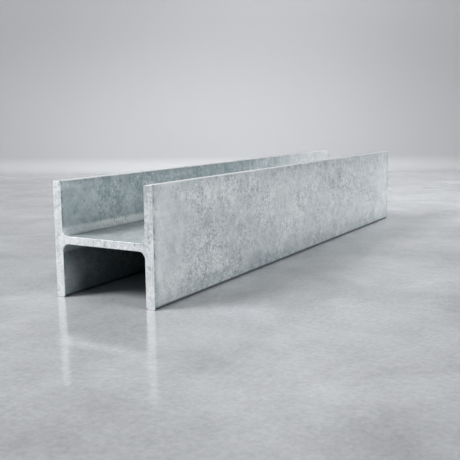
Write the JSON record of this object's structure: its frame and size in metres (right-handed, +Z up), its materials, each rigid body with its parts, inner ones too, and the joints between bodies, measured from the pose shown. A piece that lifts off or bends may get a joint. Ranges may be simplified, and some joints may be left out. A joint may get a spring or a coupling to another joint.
{
  "type": "i-beam",
  "caption": "Short cut length of galvanised wide-flange steel i-beam with filleted roots and sawn ends, stock for columns, lintels and frames.",
  "frame": {"origin": "on the floor under the flange toes, midway along the beam and midway between the flanges", "axes": "+X along the beam from the near end of the picture to the far one, +Y across the section's depth, +Z up along the flanges' width"},
  "size_m": [0.62, 0.1058, 0.1031],
  "materials": {
    "galvanised_steel": "hot-dip galvanised, dull mottled zinc grey with faint spangle and drain streaks"
  },
  "bodies": {
    "root": {"beam": "galvanised_steel"}
  },
  "joints": []
}
